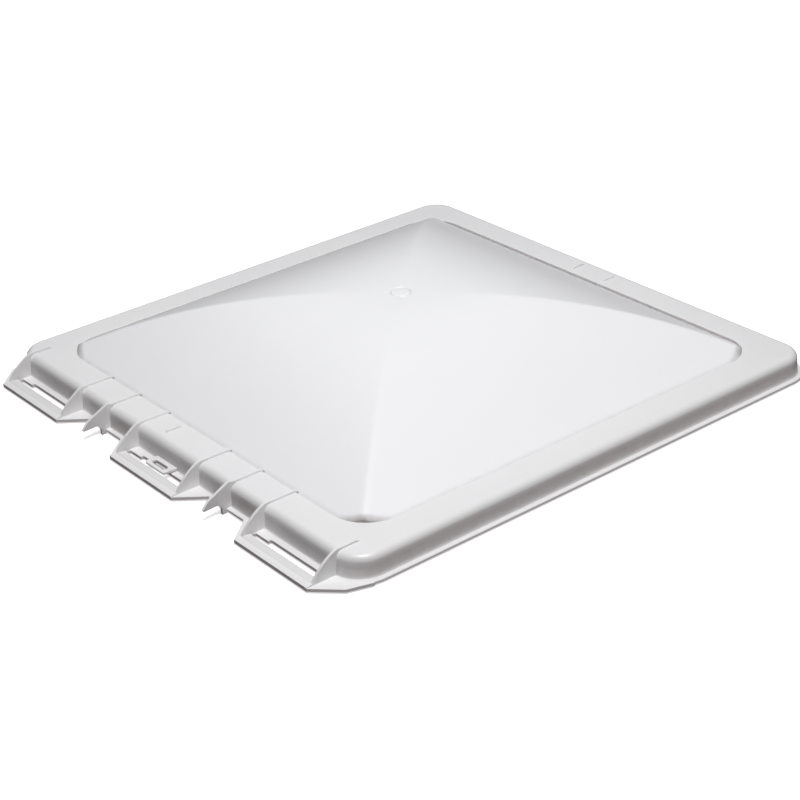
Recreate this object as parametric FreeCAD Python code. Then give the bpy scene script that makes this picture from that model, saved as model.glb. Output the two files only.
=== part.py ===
"""Moulded roof vent cover: a square domed lid with slide-on hinge loops and a lift track underneath.

Frame: origin at the middle of the vent opening, in the plane of the flange's underside.
+Z is up, out of the roof. The hinge edge faces -Y. Lengths are millimetres, angles degrees.
"""

import FreeCAD
import Part
import math
import os

V = FreeCAD.Vector
X_AXIS = V(1, 0, 0)
Z_AXIS = V(0, 0, 1)
ORIGIN = V(0, 0, 0)

# ---- Lid moulding ----
FLANGE_HALF = 197.0          # half the side of the square flange
FLANGE_CORNER_R = 23.0
FLANGE_T = 2.0
FLANGE_EDGE_R = 0.8          # rounding of the flange's upper edge
LIP_WIDTH = 3.5              # flange outside the skirt's foot
SKIRT_DRAFT = 1.0            # how far the skirt leans in over its height
LID_H = 17.0                 # rim top above the flange's underside
SHOULDER_R = 5.0
WALL = 2.3
RIM_W = 28.0                 # flange edge to the rim's opening, which the dome fills
RECESS_CORNER_R = 27.0
RECESS_DEPTH = 2.4           # dome's foot below the rim top, at mid side
DOME_RISE = 45.0             # crown above the dome's foot
DOME_POWER = 2.4             # dome height falls as this power of the distance out
DOME_STEPS = 14              # points along half of the dome's curve
GATE_R = 7.5                 # moulding gate mark at the crown
GATE_RING_W = 1.2
GATE_DEPTH = 0.5

# ---- Small ribs on the rim ----
RIM_RIB_L = 12.0
RIM_RIB_T = 2.0
RIM_RIB_RISE = 1.4
RIM_RIB_HALF_GAP = 16.0      # the far rim's pair stands this far each side of its middle
RIM_RIB_INSET = 4.0          # from the opening's edge to a rib's inner end
HINGE_RIM_RIB_X = -12.8

# ---- Hinge edge ----
LOOP_PITCHES = {"left": -4, "middle": 0, "right": 4}    # a gusset stands one pitch each side
STOP_PITCHES = {"left": -2, "right": 2}
OUTERMOST = 5                # pitches from the middle to the last gusset
GUSSET_INSET = 22.5          # flange edge to the last gusset
RIB_T = 2.0
RIB_RISE = 1.4               # a gusset's rib above the rim top
RIB_SLOPE = 2.5              # run of a rib's sloped inner end
RIB_OVERHANG = 2.0           # rib's inner end past the rim's opening
OUTER_RIB_CUT = 8.0          # the two outermost ribs stop this much short
BAR_W = 10.6
BAR_T = 3.2
BAR_CROWN = 0.7
FLARE_RUN = 15.0             # a loop plate widens by this much at the flange
CORNER_FLARE = 16.0          # the same at the lid's corners
CORNER_FLARE_BACK = 15.0     # where the corner flare meets the lid's side, from the flange edge
WINDOW_LEDGE = 1.3           # plate left between the flange edge and the window
WINDOW_W = 5.8
NARROW_L = 12.5              # length of the window's narrow end
NARROW_STEP = 2.2            # how much narrower that end is
WINDOW_END_GAP = 0.5         # between the window's end and the gusset's face
WINDOW_CORNER_R = 1.0
GUSSET_FOOT = 4.7            # gusset's foot, back from the bar's outer face
GUSSET_BULGE = 1.4           # outward bow of the gusset's sloping edge

# ---- Stop fins ----
FIN_BUMP = 0.9               # fin's top above the rib at the shoulder
FIN_NOSE_REACH = 16.7        # nose beyond the flange edge
FIN_NOSE_Z = 6.9
FIN_BROW_Z = 11.8
FIN_BROW_BACK = 4.4
FIN_NOSE_T = 0.9             # blunt nose height
FIN_THROAT = 5.2             # underside's inner end beyond the flange edge
HOOK_REACH = 3.2             # hook beyond the flange edge
HOOK_DROP = 1.3              # hook below the flange

# ---- Latch tongue ----
TONGUE_W = 22.0
TONGUE_T = 1.8
TONGUE_GAP_Z = 0.7           # above the flange
TONGUE_GAP_BAR = 0.4         # from the bar's inner edge
TONGUE_ROOT_GAP = 0.1        # running gap at the root
TONGUE_HOLE_L = 15.0
TONGUE_HOLE_W = 3.8
TONGUE_HOLE_BACK = 3.0       # root axis to the near side of the hole

# ---- Foam seal under the rim ----
SEAL_W = 10.0
SEAL_T = 6.0
SEAL_INSET = 16.5            # flange edge to the seal's centre line

# ---- Lift track ----
TRACK_L = 130.0
TRACK_W = 28.0
TRACK_H = 12.0
TRACK_SHEET = 1.5
TRACK_SLOT = 12.0
TAB_L = 16.0                 # screw tab at each end
TAB_CORNER_R = 3.0
SCREW_ROW = 8.0              # screw holes each side of the middle
BOSS_R = 4.2
PILOT_R = 1.35
BOSS_L = 5.4                 # boss on its short side, where the dome is lowest
PILOT_SKIN = 0.9             # material between a pilot hole's end and the dome's skin
BOSS_ROOT = 1.0              # boss overlap into the dome's skin
SCREW_HOLE_R = 2.0
SCREW_SHANK_R = 1.35
SCREW_HEAD_R = 3.3
SCREW_HEAD_H = 2.2
SCREW_END_GAP = 0.8          # from a screw's end to its pilot hole's end
DRIVE_R = 1.5
DRIVE_W = 0.75
DRIVE_DEPTH = 1.1
PLUG_L = 7.0
PLUG_SLOT_CLEAR = 0.6        # yoke side clearance in a plug's slot
PLUG_GAP = 0.1
PLUG_BRIDGE = 1.2

# ---- Trolley, rollers and yoke ----
AXLE_R = 2.0
AXLE_END_GAP = 0.9           # axle end to the track's wall
RUN_GAP = 0.05               # radial running clearance on the axle
ROLLER_GAP = 0.3             # roller to track, above and below
ROLLER_SIDE_GAP = 2.5        # roller's outer face to the track's wall
ROLLER_IN_X = 5.8            # a roller's inner face
ROLLER_EDGE_R = 0.4
ROLLER_RIM = 0.8
ROLLER_DISH = 0.4
CLIP_T = 0.8
CLIP_TRACK_GAP = 1.1         # clip to track, above and below
CLIP_GAP = 0.25
CLIP_MOUTH = 2.4
GROOVE_DEPTH = 0.4
SPACER_WALL = 1.1
SPACER_END_GAP = 0.15
YOKE_T = 7.0
YOKE_EYE_GAP = 0.5           # eye to track, above
YOKE_L = 26.0                # axle to lift-arm pin
YOKE_FOOT_R = 5.6
YOKE_SHANK_W = 6.0
BUSH_R = 4.0
PIN_BORE_R = 3.0
BUSH_FLANGE_R = 4.9
BUSH_FLANGE_T = 1.0

# ---- Values that follow from the sizes above ----
CORE = FLANGE_HALF - FLANGE_CORNER_R
RECESS_HALF = FLANGE_HALF - RIM_W
RIB_PITCH = (FLANGE_HALF - GUSSET_INSET) / OUTERMOST
SKIRT_FOOT = FLANGE_CORNER_R - LIP_WIDTH
SKIRT_TOP = SKIRT_FOOT - SKIRT_DRAFT
FOOT_Z = LID_H - RECESS_DEPTH
PANEL_BOTTOM_Z = FOOT_Z - WALL
CROWN_Z = FOOT_Z + DOME_RISE
WINDOW_Y = -(FLANGE_HALF + WINDOW_LEDGE)
BAR_IN_Y = WINDOW_Y - WINDOW_W
BAR_OUT_Y = BAR_IN_Y - BAR_W
SKIRT_FOOT_Y = -(CORE + SKIRT_FOOT)
ROOF_Z = LID_H - WALL
SEAL_MID = FLANGE_HALF - SEAL_INSET
TONGUE_Z = FLANGE_T + TONGUE_GAP_Z + TONGUE_T / 2
SCREW_Y = TRACK_L / 2 + TAB_L / 2
TRACK_IN_HALF = TRACK_H / 2 - TRACK_SHEET    # half the height inside the track
TRACK_WALL_X = TRACK_W / 2 - TRACK_SHEET     # inner face of the track's wall
AXLE_HALF = TRACK_WALL_X - AXLE_END_GAP
ROLLER_W = TRACK_WALL_X - ROLLER_SIDE_GAP - ROLLER_IN_X
ROLLER_R = TRACK_IN_HALF - ROLLER_GAP
CLIP_R = TRACK_IN_HALF - CLIP_TRACK_GAP
YOKE_EYE_R = TRACK_IN_HALF - YOKE_EYE_GAP
CLIP_X = ROLLER_IN_X + ROLLER_W + CLIP_GAP   # inner face of a clip

# ---- Working values ----
OVERCUT = 1.0                # how far a cutting tool runs past a face
TALL = 2 * (CROWN_Z + OVERCUT)    # higher than anything on the lid
TINY = 0.01                  # tolerance for picking out edges


# ---- Helpers ----
def dome_z(out, drop=0.0):
    """Height of the dome's skin at a distance out from the middle."""
    return CROWN_Z - DOME_RISE * (abs(out) / RECESS_HALF) ** DOME_POWER - drop


TRACK_TOP_Z = dome_z(SCREW_Y + BOSS_R, WALL) - BOSS_L
TRACK_IN_TOP = TRACK_TOP_Z - TRACK_SHEET
TRACK_BOTTOM = TRACK_TOP_Z - TRACK_H
AXLE_Z = TRACK_IN_TOP - TRACK_IN_HALF
PIN_Z = AXLE_Z - YOKE_L
PILOT_TOP_Z = dome_z(SCREW_Y, WALL) - PILOT_SKIN


def wire_face(edges):
    """Face bounded by edges given in order."""
    return Part.Face(Part.Wire([e.toShape() if hasattr(e, "toShape") else e for e in edges]))


def polygon(points):
    """Closed flat face through points."""
    return Part.Face(Part.makePolygon(points + [points[0]]))


def box(x0, x1, y0, y1, z0, z1):
    """Box between two corners."""
    return Part.makeBox(x1 - x0, y1 - y0, z1 - z0, V(x0, y0, z0))


def rounded_rectangle(x0, x1, y0, y1, radius, z):
    """Flat face with four round corners."""
    face = polygon([V(x0, y0, z), V(x1, y0, z), V(x1, y1, z), V(x0, y1, z)])
    solid = face.extrude(Z_AXIS)
    upright = [e for e in solid.Edges if abs(e.tangentAt(e.FirstParameter).z) > 1 - TINY]
    solid = solid.makeFillet(radius, upright)
    return min(solid.Faces, key=lambda f: f.CenterOfMass.z)


def rounded_prism(half, radius, z0, z1):
    """Square prism about the Z axis with round corners."""
    face = rounded_rectangle(-half, half, -half, half, radius, z0)
    return face.extrude(V(0, 0, z1 - z0))


def cylinder_x(radius, x0, x1, y=0.0, z=0.0):
    """Cylinder along X."""
    return Part.makeCylinder(radius, x1 - x0, V(x0, y, z), X_AXIS)


def upright_cylinder(radius, x, y, z0, z1):
    """Cylinder along Z."""
    return Part.makeCylinder(radius, z1 - z0, V(x, y, z0), Z_AXIS)


def fuse_all(shapes):
    """One clean shape from several that touch or overlap."""
    first, rest = shapes[0], shapes[1:]
    return first.fuse(rest).removeSplitter() if rest else first


def plate_yz(face, x_mid, thickness):
    """Plate of the given thickness from a face drawn in the YZ plane."""
    moved = face.copy()
    moved.translate(V(x_mid - thickness / 2, 0, 0))
    return moved.extrude(V(thickness, 0, 0))


def save(name, shape):
    """Write one node's STEP file."""
    shape.exportStep("parts/%s.step" % name)


# ---- Rim ----
def cap_section(foot, top, z0, z1, radius):
    """Half section of a capped skirt: u outward along X, with a round shoulder tangent to both sides."""
    slant = math.hypot(foot - top, z1 - z0)
    normal = V((z1 - z0) / slant, 0, (foot - top) / slant)
    start_z = z1 - radius + radius * normal.z
    start = V(top + (foot - top) * (z1 - start_z) / (z1 - z0), 0, start_z)
    centre = start - normal * radius
    end = V(centre.x, 0, z1)
    bisector = (normal + Z_AXIS).normalize()
    arc = Part.Arc(start, centre + bisector * radius, end)
    return wire_face([
        Part.LineSegment(V(0, 0, z0), V(foot, 0, z0)),
        Part.LineSegment(V(foot, 0, z0), start),
        arc,
        Part.LineSegment(end, V(0, 0, z1)),
        Part.LineSegment(V(0, 0, z1), V(0, 0, z0)),
    ])


def capped_square(foot, top, z0, z1, radius):
    """Solid square cap: the section swept along four sides and turned round four corners."""
    section = cap_section(foot, top, z0, z1, radius)
    pieces = [box(-CORE, CORE, -CORE, CORE, z0, z1)]
    for quarter in range(4):
        side = section.extrude(V(0, 2 * CORE, 0))
        side.translate(V(CORE, -CORE, 0))
        corner = section.revolve(ORIGIN, Z_AXIS, 90)
        corner.translate(V(CORE, CORE, 0))
        for piece in (side, corner):
            piece.rotate(ORIGIN, Z_AXIS, 90 * quarter)
            pieces.append(piece)
    return fuse_all(pieces)


def flange_plate():
    """Square flange plate with a soft upper edge."""
    plate = rounded_prism(FLANGE_HALF, FLANGE_CORNER_R, 0, FLANGE_T)
    upper = [e for e in plate.Edges if e.BoundBox.ZMin > FLANGE_T - TINY]
    return plate.makeFillet(FLANGE_EDGE_R, upper)


def lid_envelope():
    """Everything inside the rim's outer skin, filled solid; what stands on the rim is cut with it."""
    return fuse_all([capped_square(SKIRT_FOOT, SKIRT_TOP, 0, LID_H, SHOULDER_R), flange_plate()])


def rim_rib(x, y_in, y_out, envelope):
    """Low rib lying across the rim, with sloped ends."""
    top = LID_H + RIM_RIB_RISE
    sign = math.copysign(1.0, y_out - y_in)
    face = polygon([
        V(0, y_in, LID_H - OVERCUT),
        V(0, y_in, LID_H),
        V(0, y_in + sign * RIM_RIB_RISE, top),
        V(0, y_out - sign * RIM_RIB_RISE, top),
        V(0, y_out, LID_H),
        V(0, y_out, LID_H - OVERCUT),
    ])
    return plate_yz(face, x, RIM_RIB_T).cut(envelope)


def rim_ribs(envelope):
    """One short rib on the hinge side and a pair on the far side."""
    inner = RECESS_HALF + RIM_RIB_INSET
    outer = inner + RIM_RIB_L
    ribs = [rim_rib(HINGE_RIM_RIB_X, -inner, -outer, envelope)]
    for x in (-RIM_RIB_HALF_GAP, RIM_RIB_HALF_GAP):
        ribs.append(rim_rib(x, inner, outer, envelope))
    return ribs


def rim_frame(envelope):
    """Raised rim: top, outer skirt with flange, and the inner leg that the dome panel joins."""
    cavity = capped_square(SKIRT_FOOT - WALL, SKIRT_TOP - WALL, -OVERCUT, ROOF_Z, SHOULDER_R - WALL)
    leg = rounded_prism(RECESS_HALF + WALL, RECESS_CORNER_R + WALL, PANEL_BOTTOM_Z, ROOF_Z)
    recess = rounded_prism(RECESS_HALF, RECESS_CORNER_R, -2 * OVERCUT, TALL)
    frame = envelope.cut(cavity.cut(leg)).cut(recess)
    return fuse_all([frame] + rim_ribs(envelope))


# ---- Dome ----
def dome_vault(drop):
    """Square vault: two crossed barrel shapes that follow the dome's curve."""
    outs = [RECESS_HALF * step / DOME_STEPS for step in range(-DOME_STEPS, DOME_STEPS + 1)]
    curve = Part.BSplineCurve()
    curve.interpolate([V(out, 0, dome_z(out, drop)) for out in outs])
    left = V(-RECESS_HALF, 0, dome_z(RECESS_HALF, drop))
    right = V(RECESS_HALF, 0, left.z)
    low = PANEL_BOTTOM_Z - OVERCUT
    low_left = V(left.x, 0, low)
    low_right = V(right.x, 0, low)
    face = wire_face([
        curve,
        Part.LineSegment(right, low_right),
        Part.LineSegment(low_right, low_left),
        Part.LineSegment(low_left, left),
    ])
    barrel = face.extrude(V(0, 2 * RECESS_HALF, 0))
    barrel.translate(V(0, -RECESS_HALF, 0))
    crossed = barrel.copy()
    crossed.rotate(ORIGIN, Z_AXIS, 90)
    return barrel.common(crossed)


def screw_places():
    """The track's four screws: X and Y of each."""
    return [(x, y) for x in (-SCREW_ROW, SCREW_ROW) for y in (-SCREW_Y, SCREW_Y)]


def gate_mark():
    """Shallow ring at the crown."""
    z0 = CROWN_Z - GATE_DEPTH
    ring = upright_cylinder(GATE_R, 0, 0, z0, TALL)
    return ring.cut(upright_cylinder(GATE_R - GATE_RING_W, 0, 0, z0, TALL))


def dome_panel():
    """Domed skin that stands as a low wall at its round corners, with four screw bosses under it."""
    outer = dome_vault(0).common(rounded_prism(RECESS_HALF, RECESS_CORNER_R, PANEL_BOTTOM_Z, TALL))
    hollow_plan = rounded_prism(RECESS_HALF - WALL, RECESS_CORNER_R - WALL, 0, TALL)
    skin = outer.cut(dome_vault(WALL).common(hollow_plan))
    for x, y in screw_places():
        boss_top = dome_z(abs(y), WALL) + BOSS_ROOT
        skin = skin.fuse(upright_cylinder(BOSS_R, x, y, TRACK_TOP_Z, boss_top))
        skin = skin.cut(upright_cylinder(PILOT_R, x, y, TRACK_TOP_Z, PILOT_TOP_Z))
    return skin.cut(gate_mark()).removeSplitter()


# ---- Hinge edge ----
def loop_window(x_mid):
    """Slot through a loop plate: wide, with a narrow end towards -X."""
    half = RIB_PITCH - RIB_T / 2 - WINDOW_END_GAP
    x0 = x_mid - half
    x1 = x_mid + half
    z0 = -OVERCUT
    depth = V(0, 0, BAR_T + 2 * OVERCUT)
    narrow = rounded_rectangle(x0, x1, BAR_IN_Y, WINDOW_Y - NARROW_STEP, WINDOW_CORNER_R, z0)
    wide = rounded_rectangle(x0 + NARROW_L, x1, BAR_IN_Y, WINDOW_Y, WINDOW_CORNER_R, z0)
    return fuse_all([narrow.extrude(depth), wide.extrude(depth)])


def flare_points(x_end, side, at_corner):
    """Plan outline from the bar's end to the lid, on the side given by its sign."""
    if at_corner:
        lid_side = side * FLANGE_HALF
        return [
            V(x_end, BAR_OUT_Y, 0),
            V(x_end + side * CORNER_FLARE, BAR_OUT_Y + CORNER_FLARE, 0),
            V(lid_side, -(FLANGE_HALF - CORNER_FLARE_BACK), 0),
            V(side * CORE, -(FLANGE_HALF - CORNER_FLARE_BACK), 0),
        ]
    return [
        V(x_end, BAR_OUT_Y, 0),
        V(x_end + side * FLARE_RUN, -FLANGE_HALF, 0),
        V(x_end + side * FLARE_RUN, -CORE, 0),
    ]


def hinge_bar(x0, x1):
    """Crowned bar that the base's hinge curls wrap round."""
    mid = (BAR_OUT_Y + BAR_IN_Y) / 2
    edge_z = BAR_T - BAR_CROWN
    out_top = V(x0, BAR_OUT_Y, edge_z)
    in_top = V(x0, BAR_IN_Y, edge_z)
    face = wire_face([
        Part.LineSegment(V(x0, BAR_OUT_Y, 0), out_top),
        Part.Arc(out_top, V(x0, mid, BAR_T), in_top),
        Part.LineSegment(in_top, V(x0, BAR_IN_Y, 0)),
        Part.LineSegment(V(x0, BAR_IN_Y, 0), V(x0, BAR_OUT_Y, 0)),
    ])
    return face.extrude(V(x1 - x0, 0, 0))


def gusset(pitches, envelope):
    """Upright web from the rim's top down the skirt to the bar."""
    cut_short = OUTER_RIB_CUT if abs(pitches) == OUTERMOST else 0.0
    end_y = -(RECESS_HALF - RIB_OVERHANG + cut_short)
    rib_z = LID_H + RIB_RISE
    knee = V(0, SKIRT_FOOT_Y, rib_z - RIB_RISE / 2)
    foot = V(0, BAR_OUT_Y + GUSSET_FOOT, BAR_T)
    shoulder = V(0, SKIRT_FOOT_Y + SHOULDER_R / 2, rib_z)
    chord = foot - knee
    outward = V(0, chord.z, -chord.y).normalize()
    bow = Part.Arc(knee, (knee + foot) * 0.5 + outward * GUSSET_BULGE, foot)
    points = [
        V(0, foot.y, FLANGE_T / 2),
        V(0, SKIRT_FOOT_Y + SHOULDER_R, FLANGE_T / 2),
        V(0, end_y, LID_H),
        V(0, end_y - RIB_SLOPE, rib_z),
        shoulder,
        knee,
    ]
    edges = [Part.LineSegment(foot, points[0])]
    edges += [Part.LineSegment(a, b) for a, b in zip(points, points[1:])]
    return plate_yz(wire_face(edges + [bow]), pitches * RIB_PITCH, RIB_T).cut(envelope)


def hinge_loop(mid_pitches, envelope):
    """Loop plate, its bar and its two gussets."""
    left = (mid_pitches - 1) * RIB_PITCH - RIB_T / 2
    right = (mid_pitches + 1) * RIB_PITCH + RIB_T / 2
    left_side = flare_points(left, -1, mid_pitches < 0)
    right_side = flare_points(right, 1, mid_pitches > 0)
    outline = right_side + left_side[::-1]
    plate = polygon(outline).extrude(V(0, 0, FLANGE_T))
    webs = [gusset(mid_pitches + step, envelope) for step in (-1, 1)]
    window = loop_window(mid_pitches * RIB_PITCH)
    body = fuse_all([plate.cut(envelope), hinge_bar(left, right)]).cut(window)
    return fuse_all([body] + webs)


def slide_stop(pitches, envelope):
    """Beaked fin, hooked down outside the flange edge; it stops the lid sliding off its hinge."""
    rib_z = LID_H + RIB_RISE
    edge = -FLANGE_HALF
    shoulder_y = SKIRT_FOOT_Y + SHOULDER_R / 2
    nose_y = edge - FIN_NOSE_REACH
    hook_y = edge - HOOK_REACH
    face = polygon([
        V(0, RIB_OVERHANG - RECESS_HALF, LID_H),
        V(0, RIB_OVERHANG - RECESS_HALF - RIB_SLOPE, rib_z),
        V(0, shoulder_y, rib_z),
        V(0, SKIRT_FOOT_Y, rib_z + FIN_BUMP),
        V(0, nose_y + FIN_BROW_BACK, FIN_BROW_Z),
        V(0, nose_y, FIN_NOSE_Z),
        V(0, nose_y + FIN_NOSE_T / 2, FIN_NOSE_Z - FIN_NOSE_T),
        V(0, edge - FIN_THROAT, FIN_NOSE_Z - FIN_NOSE_T / 2),
        V(0, hook_y, FLANGE_T + RIB_RISE),
        V(0, hook_y, -HOOK_DROP),
        V(0, edge, -HOOK_DROP),
        V(0, edge, FLANGE_T / 2),
        V(0, SKIRT_FOOT_Y, FLANGE_T / 2),
    ])
    return plate_yz(face, pitches * RIB_PITCH, RIB_T).cut(envelope)


def latch_tongue():
    """Springy tongue over the middle window, with a round root and a long hole."""
    root_y = tongue_root_y()
    front_y = BAR_IN_Y + TONGUE_GAP_BAR
    half_w = TONGUE_W / 2
    z0 = FLANGE_T + TONGUE_GAP_Z
    plate = box(-half_w, half_w, front_y, root_y, z0, z0 + TONGUE_T)
    front = [e for e in plate.Edges if e.BoundBox.YMax < front_y + TINY and e.BoundBox.ZLength > TINY]
    plate = plate.makeFillet(TONGUE_T, front)
    root = cylinder_x(TONGUE_T / 2, -half_w, half_w, root_y, TONGUE_Z)
    hole_y = root_y - TONGUE_HOLE_BACK
    hole = rounded_rectangle(-TONGUE_HOLE_L / 2, TONGUE_HOLE_L / 2, hole_y - TONGUE_HOLE_W, hole_y,
                             TONGUE_HOLE_W / 2 - TINY, z0 - OVERCUT)
    return plate.fuse(root).cut(hole.extrude(V(0, 0, TONGUE_T + 2 * OVERCUT))).removeSplitter()


def tongue_root_y():
    """Y of the tongue's root axis, just clear of the leaning skirt."""
    skirt_y = SKIRT_FOOT_Y + SKIRT_DRAFT * TONGUE_Z / LID_H
    return skirt_y - TONGUE_T / 2 - TONGUE_ROOT_GAP


# ---- Seal ----
def seal_strips():
    """Foam strip under the rim in four mitred lengths, keyed by the side they lie on."""
    outer_half = SEAL_MID + SEAL_W / 2
    inner_half = SEAL_MID - SEAL_W / 2
    z0 = ROOF_Z - SEAL_T
    outer = rounded_prism(outer_half, outer_half - RECESS_HALF, z0, ROOF_Z)
    inner = rounded_prism(inner_half, inner_half - RECESS_HALF, z0, ROOF_Z)
    ring = outer.cut(inner)
    strips = {}
    for quarter, name in enumerate(("front", "right", "back", "left")):
        reach = FLANGE_HALF
        sector = polygon([V(0, 0, 0), V(-reach, -reach, 0), V(reach, -reach, 0)])
        wedge = sector.extrude(V(0, 0, LID_H))
        wedge.rotate(ORIGIN, Z_AXIS, 90 * quarter)
        strips[name] = ring.common(wedge)
    return strips


# ---- Lift track ----
def lift_track():
    """Open channel with turned-in lips, and a screw tab at each end."""
    half_w = TRACK_W / 2
    half_l = TRACK_L / 2
    lip_z = TRACK_BOTTOM + TRACK_SHEET
    channel = box(-half_w, half_w, -half_l, half_l, TRACK_BOTTOM, TRACK_TOP_Z)
    inside = box(-TRACK_WALL_X, TRACK_WALL_X, -half_l, half_l, lip_z, TRACK_IN_TOP)
    slot = box(-TRACK_SLOT / 2, TRACK_SLOT / 2, -half_l, half_l, TRACK_BOTTOM, TRACK_IN_TOP)
    tab_end = half_l + TAB_L
    top = rounded_rectangle(-half_w, half_w, -tab_end, tab_end, TAB_CORNER_R, TRACK_IN_TOP)
    body = fuse_all([channel.cut(inside).cut(slot), top.extrude(V(0, 0, TRACK_SHEET))])
    for x, y in screw_places():
        body = body.cut(upright_cylinder(SCREW_HOLE_R, x, y, TRACK_IN_TOP - OVERCUT, TRACK_TOP_Z))
    return body


def track_screws():
    """Four pan-head screws up into the bosses."""
    screws = []
    bottom = TRACK_IN_TOP - SCREW_HEAD_H
    for x, y in screw_places():
        head = upright_cylinder(SCREW_HEAD_R, x, y, bottom, TRACK_IN_TOP)
        rim = [e for e in head.Edges if e.BoundBox.ZMax < bottom + TINY]
        head = head.makeFillet(SCREW_HEAD_H / 2, rim)
        shank = upright_cylinder(SCREW_SHANK_R, x, y, TRACK_IN_TOP, PILOT_TOP_Z - SCREW_END_GAP)
        drive = []
        for turn in (0, 90):
            arm = box(-DRIVE_R, DRIVE_R, -DRIVE_W / 2, DRIVE_W / 2, bottom, bottom + DRIVE_DEPTH)
            arm.rotate(ORIGIN, Z_AXIS, turn)
            arm.translate(V(x, y, 0))
            drive.append(arm)
        screws.append(head.fuse(shank).cut(fuse_all(drive)).removeSplitter())
    return Part.makeCompound(screws)


def end_plug(side):
    """Plug that closes the track's end and stops the rollers; a slot lets the yoke swing past."""
    half_in = TRACK_WALL_X - PLUG_GAP
    y_out = side * TRACK_L / 2
    y_in = y_out - side * PLUG_L
    y0, y1 = sorted((y_in, y_out))
    z0 = TRACK_BOTTOM + TRACK_SHEET
    block = box(-half_in, half_in, y0, y1, z0, TRACK_IN_TOP)
    slot_half = YOKE_T / 2 + PLUG_SLOT_CLEAR
    slot = box(-slot_half, slot_half, y0, y1, z0, TRACK_IN_TOP - PLUG_BRIDGE)
    return block.cut(slot)


# ---- Trolley ----
def clip_span(side):
    """The two X values between which an axle clip lies."""
    return sorted((side * CLIP_X, side * (CLIP_X + CLIP_T)))


def trolley_axle():
    """Axle pin with a clip groove near each end."""
    pin = cylinder_x(AXLE_R, -AXLE_HALF, AXLE_HALF, 0, AXLE_Z)
    ends = [e for e in pin.Edges if e.BoundBox.XLength < TINY]
    pin = pin.makeChamfer(GROOVE_DEPTH, ends)
    for side in (-1, 1):
        x0, x1 = clip_span(side)
        ring = cylinder_x(AXLE_R + OVERCUT, x0, x1, 0, AXLE_Z)
        pin = pin.cut(ring.cut(cylinder_x(AXLE_R - GROOVE_DEPTH, x0, x1, 0, AXLE_Z)))
    return pin


def axle_clips():
    """Two open retaining clips in the axle's grooves."""
    clips = []
    for side in (-1, 1):
        x0, x1 = clip_span(side)
        ring = cylinder_x(CLIP_R, x0, x1, 0, AXLE_Z)
        ring = ring.cut(cylinder_x(AXLE_R - GROOVE_DEPTH, x0, x1, 0, AXLE_Z))
        mouth = box(x0, x1, -CLIP_MOUTH / 2, CLIP_MOUTH / 2, AXLE_Z - CLIP_R - OVERCUT, AXLE_Z)
        clips.append(ring.cut(mouth))
    return Part.makeCompound(clips)


def axle_spacers():
    """Two sleeves that keep the rollers off the yoke."""
    sleeves = []
    for side in (-1, 1):
        near = YOKE_T / 2 + SPACER_END_GAP
        far = ROLLER_IN_X - SPACER_END_GAP
        x0, x1 = sorted((side * near, side * far))
        sleeve = cylinder_x(AXLE_R + SPACER_WALL, x0, x1, 0, AXLE_Z)
        sleeves.append(sleeve.cut(cylinder_x(AXLE_R, x0, x1, 0, AXLE_Z)))
    return Part.makeCompound(sleeves)


def roller(side):
    """Plain roller with rounded edges and a dished outer face."""
    x_in = side * ROLLER_IN_X
    x_out = side * (ROLLER_IN_X + ROLLER_W)
    x0, x1 = sorted((x_in, x_out))
    wheel = cylinder_x(ROLLER_R, x0, x1, 0, AXLE_Z)
    wheel = wheel.makeFillet(ROLLER_EDGE_R, [e for e in wheel.Edges if e.BoundBox.XLength < TINY])
    bore_r = AXLE_R + RUN_GAP
    dish_r = ROLLER_R - ROLLER_RIM
    dish0, dish1 = sorted((x_out, x_out - side * ROLLER_DISH))
    dish = cylinder_x(dish_r, dish0, dish1, 0, AXLE_Z)
    dish = dish.cut(cylinder_x((bore_r + dish_r) / 2, dish0, dish1, 0, AXLE_Z))
    bore = cylinder_x(bore_r, x0, x1, 0, AXLE_Z)
    return wheel.cut(dish).cut(bore)


def lift_yoke():
    """Link that hangs on the axle and takes the lift arm's pin at its foot."""
    half_t = YOKE_T / 2
    eye = cylinder_x(YOKE_EYE_R, -half_t, half_t, 0, AXLE_Z)
    foot = cylinder_x(YOKE_FOOT_R, -half_t, half_t, 0, PIN_Z)
    shank = box(-half_t, half_t, -YOKE_SHANK_W / 2, YOKE_SHANK_W / 2, PIN_Z, AXLE_Z)
    body = fuse_all([shank, eye, foot])
    body = body.cut(cylinder_x(AXLE_R + RUN_GAP, -half_t, half_t, 0, AXLE_Z))
    return body.cut(cylinder_x(BUSH_R, -half_t, half_t, 0, PIN_Z))


def yoke_bushing():
    """Flanged bush pressed into the yoke's foot."""
    half_t = YOKE_T / 2
    sleeve = cylinder_x(BUSH_R, -half_t, half_t, 0, PIN_Z)
    flanges = [
        cylinder_x(BUSH_FLANGE_R, half_t, half_t + BUSH_FLANGE_T, 0, PIN_Z),
        cylinder_x(BUSH_FLANGE_R, -half_t - BUSH_FLANGE_T, -half_t, 0, PIN_Z),
    ]
    reach = half_t + BUSH_FLANGE_T
    return fuse_all([sleeve] + flanges).cut(cylinder_x(PIN_BORE_R, -reach, reach, 0, PIN_Z))


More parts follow.
